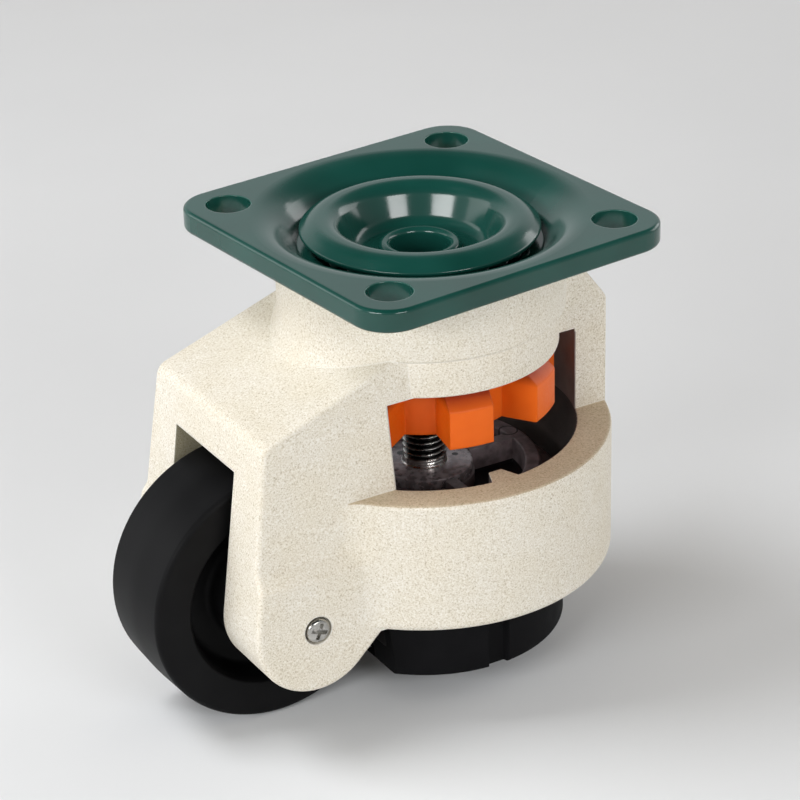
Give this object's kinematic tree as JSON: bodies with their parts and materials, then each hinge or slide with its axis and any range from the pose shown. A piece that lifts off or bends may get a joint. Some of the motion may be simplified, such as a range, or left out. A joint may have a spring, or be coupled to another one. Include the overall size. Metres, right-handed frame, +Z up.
{
  "type": "levelling castor",
  "caption": "Swivel castor with a square plate, a cast fork, a nylon wheel and a screw foot in a ring beside the wheel, raised and lowered by a lugged thumb wheel.",
  "frame": {"origin": "centre of the plate's top face, on the swivel axis", "axes": "+Z up out of the mounting face, +X from the wheel towards the foot's ring, Y along the wheel's axle"},
  "size_m": [0.1405, 0.102, 0.128],
  "materials": {
    "plate_paint": "glossy dark green stove enamel",
    "casting_paint": "ivory powder coat with a fine sand texture on die-cast zinc or aluminium",
    "bright_steel": "zinc plated",
    "ball_steel": "ground bearing steel",
    "bearing_bronze": "turned",
    "dark_steel": "black oxide",
    "orange_plastic": "moulded",
    "foot_plastic": "moulded",
    "foot_rubber": "moulded",
    "wheel_nylon": "moulded nylon"
  },
  "bodies": {
    "plate": {"top_plate": "plate_paint"},
    "fork": {"housing": "casting_paint", "race_dish": "plate_paint", "king_stud": "plate_paint", "upper_swivel_balls": "ball_steel", "lower_swivel_balls": "ball_steel", "lower_race_ring": "bright_steel", "thrust_washer": "bearing_bronze", "nut_keeper": "bright_steel", "keeper_screws": "bright_steel", "wheel_axle": "bright_steel", "bearing_sleeve": "bright_steel", "bearing_inner_race_near": "ball_steel", "bearing_inner_race_far": "ball_steel", "wheel_spacer_near": "bright_steel", "wheel_spacer_far": "bright_steel", "axle_screw_near": "bright_steel", "axle_screw_far": "bright_steel"},
    "rolling_wheel": {"wheel": "wheel_nylon", "bearing_outer_race_near": "ball_steel", "bearing_outer_race_far": "ball_steel", "bearing_balls_near": "ball_steel", "bearing_balls_far": "ball_steel", "bearing_shield_near": "bright_steel", "bearing_shield_far": "bright_steel"},
    "adjuster": {"adjusting_wheel": "orange_plastic", "adjusting_nut": "bright_steel", "wheel_clip": "dark_steel"},
    "foot": {"levelling_screw": "dark_steel", "foot_cup": "foot_plastic", "foot_pad": "foot_rubber", "foot_washer": "bright_steel", "foot_nut": "bright_steel"}
  },
  "joints": [
    {"name": "swivel", "type": "hinge", "parent": "plate", "child": "fork", "pos_m": [0, 0, 0], "axis": [0, 0, 1], "continuous": true},
    {"name": "wheel_spin", "type": "hinge", "parent": "fork", "child": "rolling_wheel", "pos_m": [-0.0535, 0, -0.092], "axis": [0, 1, 0], "continuous": true},
    {"name": "adjuster_turn", "type": "hinge", "parent": "fork", "child": "adjuster", "pos_m": [0, 0, 0], "axis": [0, 0, 1], "range_deg": [0, 3240]},
    {"name": "foot_slide", "type": "slide", "parent": "fork", "child": "foot", "axis": [0, 0, -1], "range_m": [0, 0.01575]}
  ],
  "couplings": [
    {"joint": "adjuster_turn", "follows": "foot_slide", "rad_per_m": 3590.4}
  ]
}
